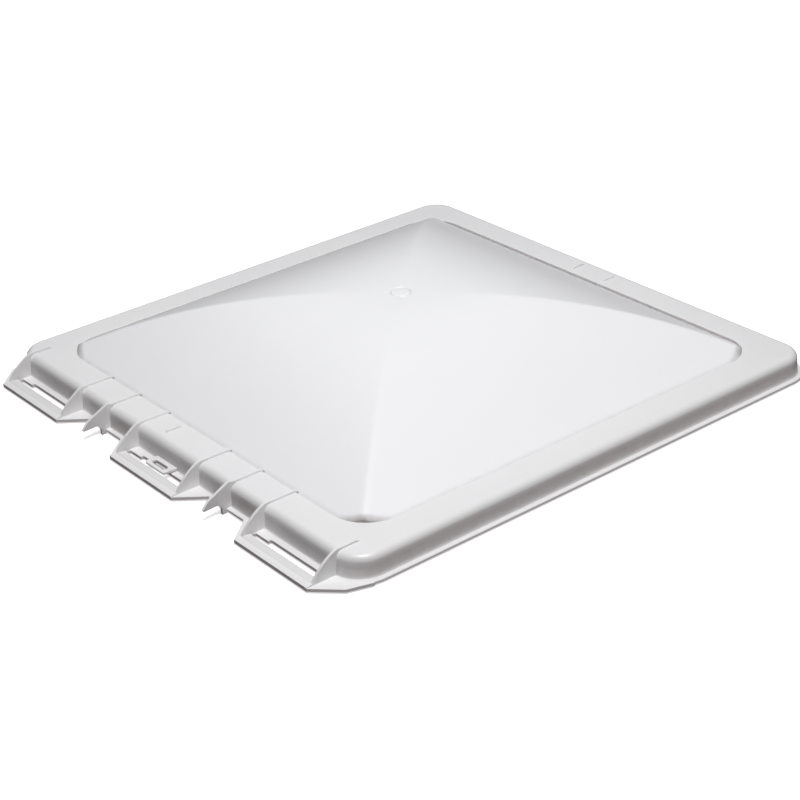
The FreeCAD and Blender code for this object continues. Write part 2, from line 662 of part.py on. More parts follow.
def main():
    """Build every piece and write it to parts/."""
    os.makedirs("parts", exist_ok=True)
    envelope = lid_envelope()
    nodes = {
        "dome_panel": dome_panel(),
        "rim_frame": rim_frame(envelope),
        "latch_tongue": latch_tongue(),
        "lift_track": lift_track(),
        "track_screws": track_screws(),
        "track_plug_front": end_plug(-1),
        "track_plug_back": end_plug(1),
        "trolley_axle": trolley_axle(),
        "axle_clips": axle_clips(),
        "axle_spacers": axle_spacers(),
        "roller_left": roller(-1),
        "roller_right": roller(1),
        "lift_yoke": lift_yoke(),
        "yoke_bushing": yoke_bushing(),
    }
    for place, pitches in LOOP_PITCHES.items():
        nodes["hinge_loop_" + place] = hinge_loop(pitches, envelope)
    for place, pitches in STOP_PITCHES.items():
        nodes["slide_stop_" + place] = slide_stop(pitches, envelope)
    for place, strip in seal_strips().items():
        nodes["seal_" + place] = strip
    for name, shape in nodes.items():
        save(name, shape)
        facts = (name, len(shape.Solids), shape.isValid(), shape.Volume)
        print("%-20s solids %d valid %s volume %.0f" % facts)
    print("latch root axis y %.4f z %.4f" % (tongue_root_y(), TONGUE_Z))
    print("axle z %.4f roller r %.4f pin z %.4f" % (AXLE_Z, ROLLER_R, PIN_Z))
    print("track z %.4f to %.4f, plug face y %.4f" % (TRACK_BOTTOM, TRACK_TOP_Z, TRACK_L / 2 - PLUG_L))


main()
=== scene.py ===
"""Finished looks of a moulded roof vent cover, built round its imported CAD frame.

The frame's origin is the middle of the vent opening, +Z is up and the hinge edge faces -Y.
Lengths are metres unless a name says otherwise.
"""

import logging
import math
from dataclasses import dataclass
from enum import Enum
from typing import Any, Callable, Iterable, Optional, Sequence, Union

import bmesh
import bpy
from mathutils import Matrix, Vector
from mathutils.bvhtree import BVHTree


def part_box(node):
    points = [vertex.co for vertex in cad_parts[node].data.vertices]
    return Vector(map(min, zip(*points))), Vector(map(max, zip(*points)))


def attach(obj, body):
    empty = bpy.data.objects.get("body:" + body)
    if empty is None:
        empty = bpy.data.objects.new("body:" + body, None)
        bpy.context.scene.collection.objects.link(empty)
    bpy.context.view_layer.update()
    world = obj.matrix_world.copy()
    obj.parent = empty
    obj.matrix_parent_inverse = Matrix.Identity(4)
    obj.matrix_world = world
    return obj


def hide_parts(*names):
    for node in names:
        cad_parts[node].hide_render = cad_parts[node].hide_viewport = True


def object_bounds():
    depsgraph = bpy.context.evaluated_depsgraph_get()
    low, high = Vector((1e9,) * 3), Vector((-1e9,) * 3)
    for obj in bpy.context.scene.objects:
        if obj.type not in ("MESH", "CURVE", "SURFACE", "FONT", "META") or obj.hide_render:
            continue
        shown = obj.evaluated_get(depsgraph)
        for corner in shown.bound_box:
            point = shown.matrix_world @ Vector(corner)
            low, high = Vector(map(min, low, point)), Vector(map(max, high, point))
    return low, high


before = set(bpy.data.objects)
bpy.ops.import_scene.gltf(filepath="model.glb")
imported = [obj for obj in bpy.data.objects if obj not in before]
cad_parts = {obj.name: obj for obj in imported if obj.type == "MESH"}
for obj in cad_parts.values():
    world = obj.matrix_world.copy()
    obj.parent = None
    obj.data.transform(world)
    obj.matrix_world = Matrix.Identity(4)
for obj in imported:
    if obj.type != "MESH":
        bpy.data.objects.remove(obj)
CAD_LOW, CAD_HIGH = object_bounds()

LOG = logging.getLogger("vent_cover")
MM = 0.001
MERGE = 1e-6                       # corners nearer than this are one corner
EDGE_SHAPE = "edge_shape"          # attribute: above 0 on outer edges, below 0 in corners and where shade is painted
LARGE_FACES_ONLY = 100             # weight at which a small face hardly bends a large one's shading
TURN_SEED = 7                      # fixes how far each copy is turned
EDGE_STEPS = 3                     # faces across a rounded edge
SHARP_COPY, SHARP_RIM, SHARP_ROUND = 34, 40, 50   # degrees above which an edge stays sharp
Colour = tuple[float, float, float, float]
WHITE: Colour = (1.0, 1.0, 1.0, 1.0)
Number = Union[float, "Wire"]
ShadeShare = Callable[[Vector], float]      # share from 0 to 1 of painted shade at a place
Ring = tuple[float, float, float]        # half side, corner radius and height


class Body(Enum):
    """The rigid bodies that pieces ride on."""

    LID = "lid"
    LATCH = "latch"
    TROLLEY = "trolley"
    ROLLER_LEFT = "roller_left"
    ROLLER_RIGHT = "roller_right"
    YOKE = "yoke"


class Slot(Enum):
    """The record's material slots."""

    LID = "lid_plastic"
    FOAM = "foam"
    ZINC = "zinc_sheet"
    SCREW = "screw_steel"
    AXLE = "axle_steel"
    CLIP = "clip_steel"
    PLUG = "plug_plastic"
    ROLLER = "roller_plastic"
    YOKE = "yoke_metal"
    BUSH = "bush_bronze"


# ---- Node trees ----
class Wire:
    """An output socket that can be used in sums."""

    def __init__(self, tree: "Tree", socket: bpy.types.NodeSocket) -> None:
        """Keep the socket and the tree that it belongs to."""
        self.tree = tree
        self.socket = socket

    def __add__(self, other: Number) -> "Wire":
        """Sum."""
        return self.tree.math("ADD", self, other)

    def __radd__(self, other: Number) -> "Wire":
        """Sum, with the number first."""
        return self.tree.math("ADD", other, self)

    def __sub__(self, other: Number) -> "Wire":
        """Difference."""
        return self.tree.math("SUBTRACT", self, other)

    def __rsub__(self, other: Number) -> "Wire":
        """Difference, with the number first."""
        return self.tree.math("SUBTRACT", other, self)

    def __mul__(self, other: Number) -> "Wire":
        """Product."""
        return self.tree.math("MULTIPLY", self, other)

    def __rmul__(self, other: Number) -> "Wire":
        """Product, with the number first."""
        return self.tree.math("MULTIPLY", other, self)

    def __truediv__(self, other: Number) -> "Wire":
        """Quotient."""
        return self.tree.math("DIVIDE", self, other)

    def __rtruediv__(self, other: Number) -> "Wire":
        """Quotient, with the number first."""
        return self.tree.math("DIVIDE", other, self)

    def __pow__(self, other: Number) -> "Wire":
        """Power."""
        return self.tree.math("POWER", self, other)

    def __neg__(self) -> "Wire":
        """The same value with its sign changed."""
        return self.tree.math("MULTIPLY", self, -1.0)

    def __abs__(self) -> "Wire":
        """The value without its sign."""
        return self.tree.math("ABSOLUTE", self)

    def above(self, floor: float) -> "Wire":
        """The value, held at or above a floor."""
        return self.tree.math("MAXIMUM", self, floor)

    def clamped(self) -> "Wire":
        """The value, held between 0 and 1."""
        return self.tree.math("MINIMUM", self.above(0.0), 1.0)


class Tree:
    """A shader or geometry node tree with one way to add any node."""

    def __init__(self, nodes: bpy.types.NodeTree) -> None:
        """Wrap an existing node tree."""
        self.nodes = nodes

    def node(self, kind: str, settings: Optional[dict[str, Any]] = None,
             inputs: Optional[dict[Union[str, int], Any]] = None) -> bpy.types.Node:
        """Add a node.

        Args:
            kind: the node's type.
            settings: its own settings, set first.
            inputs: a value or a Wire for each socket, by name or number.

        Returns:
            The new node.
        """
        made = self.nodes.nodes.new(kind)
        for name, value in (settings or {}).items():
            setattr(made, name, value)
        for key, value in (inputs or {}).items():
            self.feed(made.inputs[key], value)
        return made

    def feed(self, socket: bpy.types.NodeSocket, value: Any) -> None:
        """Link a Wire to a socket, or set the socket's own value.

        Args:
            socket: the input socket.
            value: the Wire or the plain value.
        """
        if isinstance(value, Wire):
            self.nodes.links.new(value.socket, socket)
        else:
            socket.default_value = value

    def out(self, node: bpy.types.Node, output: Union[str, int] = 0) -> Wire:
        """One output of a node."""
        return Wire(self, node.outputs[output])

    def math(self, operation: str, *values: Number) -> Wire:
        """A Math node on numbers or wires."""
        made = self.node("ShaderNodeMath", {"operation": operation}, dict(enumerate(values)))
        return self.out(made)

    def blend(self, share: Number, first: Any, second: Any) -> Wire:
        """Mix two colours.

        Args:
            share: how much of the second colour there is, from 0 to 1.
            first: the colour, or its Wire, at a share of 0.
            second: the colour, or its Wire, at a share of 1.

        Returns:
            The mixed colour.
        """
        colour_a, colour_b, colour_out = 6, 7, 2
        inputs = {0: share, colour_a: first, colour_b: second}
        return self.out(self.node("ShaderNodeMix", {"data_type": "RGBA"}, inputs), colour_out)

    def stretched(self, place: Wire, stretch: Sequence[float]) -> Wire:
        """Scale a place by a different amount along each axis."""
        made = self.node("ShaderNodeVectorMath", {"operation": "MULTIPLY"}, {0: place, 1: stretch})
        return self.out(made)

    def noise(self, place: Wire, cell: float, detail: float = 2.0) -> Wire:
        """Soft noise whose blotches are about one cell across, in metres."""
        inputs = {"Vector": place, "Scale": 1.0 / cell, "Detail": detail}
        return self.out(self.node("ShaderNodeTexNoise", None, inputs))

    def cells(self, place: Wire, cell: float) -> Wire:
        """Distance to the nearest middle in a pattern of cells about one cell across, in metres."""
        made = self.node("ShaderNodeTexVoronoi", None, {"Vector": place, "Scale": 1.0 / cell})
        return self.out(made, "Distance")

    def relief(self, height: Wire, depth: float, below: Optional[Wire] = None) -> Wire:
        """Bump, on top of an earlier one if there is one.

        Args:
            height: the pattern, from 0 to 1.
            depth: how deep it is, in metres.
            below: the earlier bump.

        Returns:
            The bumped normal.
        """
        inputs: dict[Union[str, int], Any] = {"Height": height, "Distance": depth, "Strength": 1.0}
        if below is not None:
            inputs["Normal"] = below
        return self.out(self.node("ShaderNodeBump", None, inputs))


# ---- Finishes ----
@dataclass(frozen=True)
class Finish:
    """A surface finish. Each kind paints its own pattern."""

    name: str

    def material(self) -> bpy.types.Material:
        """Make the material.

        Returns:
            The material, with its shader painted by this finish.
        """
        made = bpy.data.materials.new(self.name)
        made.use_nodes = True
        shader = made.node_tree.nodes["Principled BSDF"]
        tree = Tree(made.node_tree)
        place = tree.out(tree.node("ShaderNodeTexCoord"), "Object")
        shape = tree.out(tree.node("ShaderNodeAttribute", {"attribute_name": EDGE_SHAPE}), "Fac")
        self.paint(tree, shader, place, shape)
        return made

    def paint(self, tree: Tree, shader: bpy.types.Node, place: Wire, shape: Wire) -> None:
        """Paint the pattern. Each kind of finish has its own.

        Args:
            tree: the material's tree.
            shader: its shader node.
            place: where the surface is, in metres from the frame's origin.
            shape: above 0 on outer edges and below 0 in corners.
        """
        raise NotImplementedError


@dataclass(frozen=True)
class MouldedPlastic(Finish):
    """Injection-moulded plastic: flow clouds, mould texture, rubbed edges, and dust with painted shade in
    corners.
    """

    colour: Colour = (0.8, 0.8, 0.8, 1.0)
    clouded: Colour = (0.77, 0.77, 0.79, 1.0)
    rubbed: Colour = (0.86, 0.86, 0.86, 1.0)
    # dark colour of dust and painted shade, laid where the edge shape is below 0
    dust_and_shade: Colour = (0.5, 0.48, 0.46, 1.0)
    roughness: float = 0.36
    coat: float = 0.12
    coat_roughness: float = 0.22
    cloud_cell: float = 0.07
    flow_cell: float = 0.012
    grain_cell: float = 0.0009
    grain_depth: float = 0.000012
    wave_depth: float = 0.00006
    wear: float = 0.5
    dust_and_shade_share: float = 0.28

    def paint(self, tree: Tree, shader: bpy.types.Node, place: Wire, shape: Wire) -> None:
        """Paint moulded plastic.

        Args:
            tree: the material's tree.
            shader: its shader node.
            place: where the surface is, in metres from the frame's origin.
            shape: above 0 on outer edges, below 0 in corners and where shade is painted.
        """
        flow_stretch = (1.0, 0.25, 1.0)
        clouds = tree.noise(place, self.cloud_cell, 3.0)
        flow = tree.noise(tree.stretched(place, flow_stretch), self.flow_cell, 3.0)
        grain = tree.noise(place, self.grain_cell, 2.0)
        scuff = tree.noise(place, self.flow_cell / 2, 4.0)
        worn = (shape.above(0.0) * self.wear * (scuff + 0.4)).clamped()
        # dust mixed with painted shade, where the edge shape is below 0
        dust_and_shade_mix = ((-shape).above(0.0) * self.dust_and_shade_share * (scuff + 0.5)).clamped()
        mottled = tree.blend((clouds * 0.75 + flow * 0.25).clamped(), self.colour, self.clouded)
        cleaned = tree.blend(worn, mottled, self.rubbed)
        tree.feed(shader.inputs["Base Color"], tree.blend(dust_and_shade_mix, cleaned, self.dust_and_shade))
        uneven = (self.roughness + (clouds - 0.5) * 0.1 + (grain - 0.5) * 0.08 + worn * 0.08
                  + dust_and_shade_mix * 0.2)
        tree.feed(shader.inputs["Roughness"], uneven.clamped())
        wavy = tree.relief(clouds, self.wave_depth)
        tree.feed(shader.inputs["Normal"], tree.relief(grain, self.grain_depth, wavy))
        shader.inputs["Coat Weight"].default_value = self.coat
        shader.inputs["Coat Roughness"].default_value = self.coat_roughness
        shader.inputs["IOR"].default_value = 1.49


@dataclass(frozen=True)
class FoamStrip(Finish):
    """Closed-cell foam: pores, a dull skin and a paler bloom."""

    colour: Colour = (0.028, 0.028, 0.03, 1.0)
    bloom: Colour = (0.085, 0.085, 0.088, 1.0)
    pore: Colour = (0.008, 0.008, 0.009, 1.0)
    pore_cell: float = 0.0011
    bloom_cell: float = 0.02
    pore_depth: float = 0.00035

    def paint(self, tree: Tree, shader: bpy.types.Node, place: Wire, shape: Wire) -> None:
        """Paint foam.

        Args:
            tree: the material's tree.
            shader: its shader node.
            place: where the surface is, in metres from the frame's origin.
            shape: above 0 on outer edges and below 0 in corners.
        """
        bloom = tree.noise(place, self.bloom_cell, 4.0)
        distance = tree.cells(place, self.pore_cell)
        open_pore = (1.0 - distance * 2.2).clamped()
        skin = tree.blend((bloom * 0.8 + shape.above(0.0) * 0.4).clamped(), self.colour, self.bloom)
        tree.feed(shader.inputs["Base Color"], tree.blend(open_pore * 0.7, skin, self.pore))
        tree.feed(shader.inputs["Roughness"], 0.82 + open_pore * 0.14)
        tree.feed(shader.inputs["Normal"], tree.relief(distance, self.pore_depth))
        shader.inputs["Specular IOR Level"].default_value = 0.25


@dataclass(frozen=True)
class PlatedSheet(Finish):
    """Zinc-plated sheet: faint spangle, rolling lines and duller patches."""

    colour: Colour = (0.6, 0.61, 0.62, 1.0)
    dull: Colour = (0.42, 0.43, 0.45, 1.0)
    bright: Colour = (0.78, 0.78, 0.77, 1.0)
    spangle_cell: float = 0.006
    line_cell: float = 0.0006
    line_depth: float = 0.000012
    roughness: float = 0.34

    def paint(self, tree: Tree, shader: bpy.types.Node, place: Wire, shape: Wire) -> None:
        """Paint plated sheet.

        Args:
            tree: the material's tree.
            shader: its shader node.
            place: where the surface is, in metres from the frame's origin.
            shape: above 0 on outer edges and below 0 in corners.
        """
        line_stretch = (1.0, 0.03, 1.0)
        spangle = tree.cells(place, self.spangle_cell)
        lines = tree.noise(tree.stretched(place, line_stretch), self.line_cell, 2.0)
        patches = tree.noise(place, self.spangle_cell * 3, 4.0)
        metal = tree.blend((patches * 0.7 + spangle * 0.3).clamped(), self.colour, self.dull)
        edged = tree.blend((shape.above(0.0) * 0.8).clamped(), metal, self.bright)
        tree.feed(shader.inputs["Base Color"], edged)
        uneven = self.roughness + patches * 0.16 + lines * 0.06
        tree.feed(shader.inputs["Roughness"], uneven.clamped())
        tree.feed(shader.inputs["Normal"], tree.relief(lines, self.line_depth))
        shader.inputs["Metallic"].default_value = 1.0


@dataclass(frozen=True)
class TurnedMetal(Finish):
    """Turned or cast metal: tool lines across X, stains and bright corners."""

    colour: Colour = (0.56, 0.56, 0.57, 1.0)
    stain: Colour = (0.3, 0.29, 0.28, 1.0)
    bright: Colour = (0.8, 0.79, 0.77, 1.0)
    roughness: float = 0.3
    line_cell: float = 0.0003
    stain_cell: float = 0.003
    pit_cell: float = 0.0006
    line_depth: float = 0.00001
    pit_depth: float = 0.00002

    def paint(self, tree: Tree, shader: bpy.types.Node, place: Wire, shape: Wire) -> None:
        """Paint turned or cast metal.

        Args:
            tree: the material's tree.
            shader: its shader node.
            place: where the surface is, in metres from the frame's origin.
            shape: above 0 on outer edges and below 0 in corners.
        """
        ring_stretch = (1.0, 0.05, 0.05)
        lines = tree.noise(tree.stretched(place, ring_stretch), self.line_cell, 2.0)
        stains = tree.noise(place, self.stain_cell, 5.0)
        pits = tree.cells(place, self.pit_cell)
        metal = tree.blend((stains * 1.1 - 0.15).clamped(), self.colour, self.stain)
        edged = tree.blend((shape.above(0.0) * 0.8).clamped(), metal, self.bright)
        tree.feed(shader.inputs["Base Color"], edged)
        uneven = self.roughness + stains * 0.2 + lines * 0.05
        tree.feed(shader.inputs["Roughness"], uneven.clamped())
        turned = tree.relief(lines, self.line_depth)
        tree.feed(shader.inputs["Normal"], tree.relief(pits, self.pit_depth, turned))
        shader.inputs["Metallic"].default_value = 1.0


def finishes() -> dict[Slot, Finish]:
    """The finish of every material slot.

    Returns:
        A finish for each slot.
    """
    return {
        # the lid's dark warm corner colour is dust and, mostly, painted shade: down the step round the
        # dome and low on the skirt
        Slot.LID: MouldedPlastic(
            "white_moulding", colour=(0.81, 0.805, 0.81, 1.0), clouded=(0.77, 0.77, 0.785, 1.0),
            rubbed=(0.88, 0.88, 0.875, 1.0), dust_and_shade=(0.34, 0.29, 0.275, 1.0), dust_and_shade_share=0.7),
        Slot.FOAM: FoamStrip("seal_foam"),
        Slot.ZINC: PlatedSheet("zinc_plated_sheet"),
        Slot.SCREW: TurnedMetal("plated_screw", colour=(0.6, 0.58, 0.5, 1.0), roughness=0.26),
        Slot.AXLE: TurnedMetal("bright_axle_steel", roughness=0.2),
        Slot.CLIP: TurnedMetal(
            "blued_spring_steel", colour=(0.09, 0.1, 0.12, 1.0), stain=(0.05, 0.05, 0.06, 1.0),
            bright=(0.35, 0.36, 0.38, 1.0), roughness=0.36),
        Slot.PLUG: MouldedPlastic(
            "black_plug_nylon", colour=(0.03, 0.03, 0.032, 1.0), clouded=(0.045, 0.045, 0.048, 1.0),
            rubbed=(0.11, 0.11, 0.112, 1.0), dust_and_shade=(0.12, 0.11, 0.1, 1.0), roughness=0.48),
        Slot.ROLLER: MouldedPlastic(
            "natural_roller_nylon", colour=(0.78, 0.74, 0.63, 1.0), clouded=(0.72, 0.67, 0.55, 1.0),
            rubbed=(0.84, 0.81, 0.73, 1.0), roughness=0.42),
        Slot.YOKE: TurnedMetal(
            "tumbled_casting", colour=(0.66, 0.67, 0.68, 1.0), stain=(0.46, 0.46, 0.47, 1.0),
            roughness=0.44, pit_depth=0.00005),
        Slot.BUSH: TurnedMetal(
            "sintered_bronze", colour=(0.56, 0.36, 0.17, 1.0), stain=(0.3, 0.18, 0.09, 1.0),
            bright=(0.75, 0.55, 0.3, 1.0), roughness=0.4, pit_depth=0.00006),
    }


def dome_finish() -> Finish:
    """Paler variant of the white moulding, for the dome."""
    # its darker corner colour is dust and painted shade; the painted shade lies round the dome's foot,
    # darkest at its corners
    return MouldedPlastic(
        "white_dome_moulding", colour=(0.91, 0.91, 0.925, 1.0), clouded=(0.87, 0.875, 0.9, 1.0),
        rubbed=(0.93, 0.93, 0.93, 1.0), dust_and_shade=(0.24, 0.21, 0.2, 1.0), dust_and_shade_share=0.8)


# ---- Mesh helpers ----
def rounded_square(half: float, radius: float, side_steps: int, arc_steps: int) -> list[Vector]:
    """Points of a square with round corners, anticlockwise from the low end of the +X side.

    Args:
        half: half the side.
        radius: corner radius.
        side_steps: steps along each straight side.
        arc_steps: steps round each corner.

    Returns:
        The points, at height 0.
    """
    core = half - radius
    points = []
    for quarter in range(4):
        turn = Matrix.Rotation(quarter * math.pi / 2, 3, "Z")
        for step in range(side_steps):
            points.append(turn @ Vector((half, core * (2 * step / side_steps - 1), 0)))
        for step in range(arc_steps):
            angle = step / arc_steps * math.pi / 2
            arc = Vector((core + radius * math.cos(angle), core + radius * math.sin(angle), 0))
            points.append(turn @ arc)
    return points


def new_piece(name: str, mesh: bpy.types.Mesh) -> bpy.types.Object:
    """Put a mesh in the scene as an object at the origin.

    Args:
        name: the object's name.
        mesh: its mesh.

    Returns:
        The object.
    """
    piece = bpy.data.objects.new(name, mesh)
    bpy.context.scene.collection.objects.link(piece)
    return piece


def mesh_of(name: str, points: Sequence[Sequence[float]],
            faces: Sequence[Sequence[int]]) -> bpy.types.Mesh:
    """Mesh from points and faces, with its faces turned outwards.

    Args:
        name: the mesh's name.
        points: its points.
        faces: the numbers of each face's points.

    Returns:
        The mesh.
    """
    mesh = bpy.data.meshes.new(name)
    mesh.from_pydata([tuple(p) for p in points], [], faces)
    turn_outwards(mesh)
    return mesh


def turn_outwards(mesh: bpy.types.Mesh) -> None:
    """Point every face of a closed mesh outwards.

    Args:
        mesh: the mesh.
    """
    work = bmesh.new()
    work.from_mesh(mesh)
    bmesh.ops.recalc_face_normals(work, faces=work.faces)
    work.to_mesh(mesh)
    work.free()


def ring_faces(rings: int, around: int, closed: bool) -> list[tuple[int, int, int, int]]:
    """Quads between rings of equally many points.

    Args:
        rings: how many rings there are, one after the other.
        around: points in each ring.
        closed: whether the last ring joins the first.

    Returns:
        The quads.
    """
    faces = []
    for ring in range(rings if closed else rings - 1):
        low, high = ring * around, (ring + 1) % rings * around
        for place in range(around):
            after = (place + 1) % around
            faces.append((low + place, low + after, high + after, high + place))
    return faces


def lathe(name: str, outline: Sequence[tuple[float, float]], steps: int) -> bpy.types.Mesh:
    """Closed shape of revolution about Z.

    Args:
        name: the mesh's name.
        outline: radius and height of each point; the first and last lie on the axis.
        steps: how many sides it has.

    Returns:
        The mesh.
    """
    rings = outline[1:-1]
    points = []
    for radius, height in rings:
        for step in range(steps):
            angle = 2 * math.pi * step / steps
            points.append((radius * math.cos(angle), radius * math.sin(angle), height))
    faces: list[Sequence[int]] = list(ring_faces(len(rings), steps, False))
    for end, first in ((outline[0], 0), (outline[-1], (len(rings) - 1) * steps)):
        points.append((0.0, 0.0, end[1]))
        tip = len(points) - 1
        faces += [(tip, first + step, first + (step + 1) % steps) for step in range(steps)]
    return mesh_of(name, points, faces)


def bake(piece: bpy.types.Object) -> None:
    """Turn a piece's modifiers into plain mesh.

    Args:
        piece: the piece.
    """
    graph = bpy.context.evaluated_depsgraph_get()
    baked = bpy.data.meshes.new_from_object(piece.evaluated_get(graph))
    piece.modifiers.clear()
    piece.data = baked


def smooth(piece: bpy.types.Object, sharp_degrees: float) -> None:
    """Shade a piece smoothly, with its flat faces kept flat.

    Args:
        piece: the piece.
        sharp_degrees: edges that turn by more than this stay sharp.
    """
    for face in piece.data.polygons:
        face.use_smooth = True
    piece.data.set_sharp_from_angle(angle=math.radians(sharp_degrees))
    weighted = piece.modifiers.new("flat faces first", "WEIGHTED_NORMAL")
    weighted.keep_sharp = True
    weighted.weight = LARGE_FACES_ONLY
    bake(piece)


@dataclass(frozen=True)
class PaintedShade:
    """Where shade is painted on the lid: in the step between dome and rim, and low on the skirt."""

    half: float = 169 * MM
    radius: float = 27 * MM
    reach: float = 3.6 * MM
    open_above: float = 16.9 * MM
    open_fade: float = 0.6 * MM
    skirt_from: float = 23 * MM
    skirt_low: float = 3 * MM
    skirt_high: float = 13 * MM
    skirt_fade: float = 3 * MM
    skirt_share: float = 0.42
    side_share: float = 0.35

    def inset(self, place: Vector) -> float:
        """How far inside the step's outline a place lies, seen from above.

        Args:
            place: the place.

        Returns:
            The distance, negative outside the outline.
        """
        core = self.half - self.radius
        over = Vector((max(0.0, abs(place.x) - core), max(0.0, abs(place.y) - core)))
        return self.half - over.length - core

    def on_dome(self, place: Vector) -> float:
        """Painted shade on the dome, greatest at its corners' edges.

        Args:
            place: a place on the dome.

        Returns:
            A share from 0 to 1.
        """
        core = self.half - self.radius
        over = max(0.0, abs(place.x) - core) * max(0.0, abs(place.y) - core)
        in_corner = min(1.0, 2 * over / self.radius ** 2)
        reach = self.reach * (1.0 + 0.5 * in_corner)
        near = max(0.0, 1.0 - max(0.0, self.inset(place)) / reach) ** 0.6
        return near * (self.side_share + (1.0 - self.side_share) * in_corner)

    def on_rim(self, place: Vector) -> float:
        """Painted shade on the rim: down the step, less on the skirt, and none on its top.

        Args:
            place: a place on the rim.

        Returns:
            A share from 0 to 1.
        """
        if abs(self.inset(place)) < MM:
            return max(0.0, min(1.0, (self.open_above - place.z) / self.open_fade))
        if self.inset(place) < -self.skirt_from and place.z > self.skirt_low:
            faded = max(0.0, min(1.0, (self.skirt_high - place.z) / self.skirt_fade))
            return self.skirt_share * faded
        return 0.0


def mark_edges(piece: bpy.types.Object, shade_share: Optional[ShadeShare] = None) -> None:
    """Write how far each point sticks out of, or sinks into, the surface round it.

    Args:
        piece: the piece to mark.
        shade_share: share from 0 to 1 of painted shade at a place, which counts the place as sunk in any
            case.
    """
    strength = 3.2
    work = bmesh.new()
    work.from_mesh(piece.data)
    values = []
    for corner in work.verts:
        leans = [corner.normal.dot((edge.other_vert(corner).co - corner.co).normalized())
                 for edge in corner.link_edges]
        shape = max(-1.0, min(1.0, -strength * sum(leans) / max(1, len(leans))))
        # painted shade: this share pulls the edge shape down to -1, where the finish lays its dark colour
        shade_here = shade_share(corner.co) if shade_share else 0.0
        values.append(shape * (1.0 - shade_here) - shade_here)
    work.free()
    attribute = piece.data.attributes.new(EDGE_SHAPE, "FLOAT", "POINT")
    attribute.data.foreach_set("value", values)


def cad_mesh(node: str) -> bmesh.types.BMesh:
    """Merged copy of a CAD node's solid, with flat regions joined into whole faces.

    Args:
        node: the CAD node.

    Returns:
        The working mesh.
    """
    flat = math.radians(0.4)
    work = bmesh.new()
    work.from_mesh(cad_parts[node].data)
    bmesh.ops.remove_doubles(work, verts=work.verts, dist=MERGE)
    bmesh.ops.dissolve_limit(work, angle_limit=flat, verts=work.verts, edges=work.edges)
    return work


def surface_of(nodes: Iterable[str]) -> Optional[BVHTree]:
    """Search tree over several CAD nodes' surfaces.

    Args:
        nodes: the CAD nodes.

    Returns:
        The tree, or None if there are no nodes.
    """
    points: list[Vector] = []
    faces: list[tuple[int, ...]] = []
    for node in nodes:
        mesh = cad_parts[node].data
        first = len(points)
        points += [v.co.copy() for v in mesh.vertices]
        faces += [tuple(first + i for i in face.vertices) for face in mesh.polygons]
    return BVHTree.FromPolygons(points, faces) if faces else None


def soft_edged(node: str, rounding: float, against: Sequence[str] = ()) -> bpy.types.Object:
    """Copy of a CAD node's solid with its free edges rounded.

    Args:
        node: the CAD node.
        rounding: how far each rounding reaches from its edge.
        against: CAD nodes that it is joined to; edges on them stay as they are.

    Returns:
        The new piece, at the origin.
    """
    touching, bend = 0.05 * MM, math.radians(28)
    work = cad_mesh(node)
    wall = surface_of(against)
    edges = []
    for edge in work.edges:
        if len(edge.link_faces) != 2 or edge.calc_face_angle() < bend:
            continue
        if wall is not None and all(
                wall.find_nearest(end.co, touching)[0] is not None for end in edge.verts):
            continue
        edges.append(edge)
    bmesh.ops.bevel(work, geom=edges, offset=rounding, offset_type="OFFSET",
                    segments=EDGE_STEPS, profile=0.5, affect="EDGES", clamp_overlap=True)
    bmesh.ops.triangulate(work, faces=[face for face in work.faces if len(face.verts) > 4])
    mesh = bpy.data.meshes.new(node + "_finished")
    work.to_mesh(mesh)
    work.free()
    piece = new_piece(node + "_finished", mesh)
    smooth(piece, SHARP_COPY)
    return piece


# ---- Shapes made by geometry nodes ----
class ShapeTree:
    """A geometry node tree with named inputs that ends in Realize Instances and Set Material."""

    def __init__(self, name: str, sockets: dict[str, str]) -> None:
        """Start a tree.

        Args:
            name: the tree's name.
            sockets: the type of each extra input, by name.
        """
        self.group = bpy.data.node_groups.new(name, "GeometryNodeTree")
        panel, shape = self.group.interface, "NodeSocketGeometry"
        panel.new_socket("Geometry", in_out="INPUT", socket_type=shape)
        for socket, kind in {**sockets, "Material": "NodeSocketMaterial"}.items():
            panel.new_socket(socket, in_out="INPUT", socket_type=kind)
        panel.new_socket("Geometry", in_out="OUTPUT", socket_type=shape)
        self.tree = Tree(self.group)
        self.start = self.tree.node("NodeGroupInput")

    def given(self, name: str) -> Wire:
        """One of the tree's inputs."""
        return self.tree.out(self.start, name)

    def end(self, geometry: Wire) -> None:
        """Close the tree.

        Args:
            geometry: what the tree gives, before its instances are made real.
        """
        real = self.tree.node("GeometryNodeRealizeInstances", None, {"Geometry": geometry})
        dressed = self.tree.node("GeometryNodeSetMaterial", None,
                                 {"Geometry": self.tree.out(real), "Material": self.given("Material")})
        self.tree.node("NodeGroupOutput", None, {"Geometry": self.tree.out(dressed)})

    def apply(self, piece: bpy.types.Object, values: dict[str, Any]) -> None:
        """Shape a piece with this tree and turn the result into plain mesh.

        Args:
            piece: the piece, whose mesh is the tree's geometry.
            values: a value for each named input.
        """
        modifier = piece.modifiers.new(self.group.name, "NODES")
        modifier.node_group = self.group
        for item in self.group.interface.items_tree:
            if item.in_out == "INPUT" and item.name in values:
                modifier[item.identifier] = values[item.name]
        bake(piece)


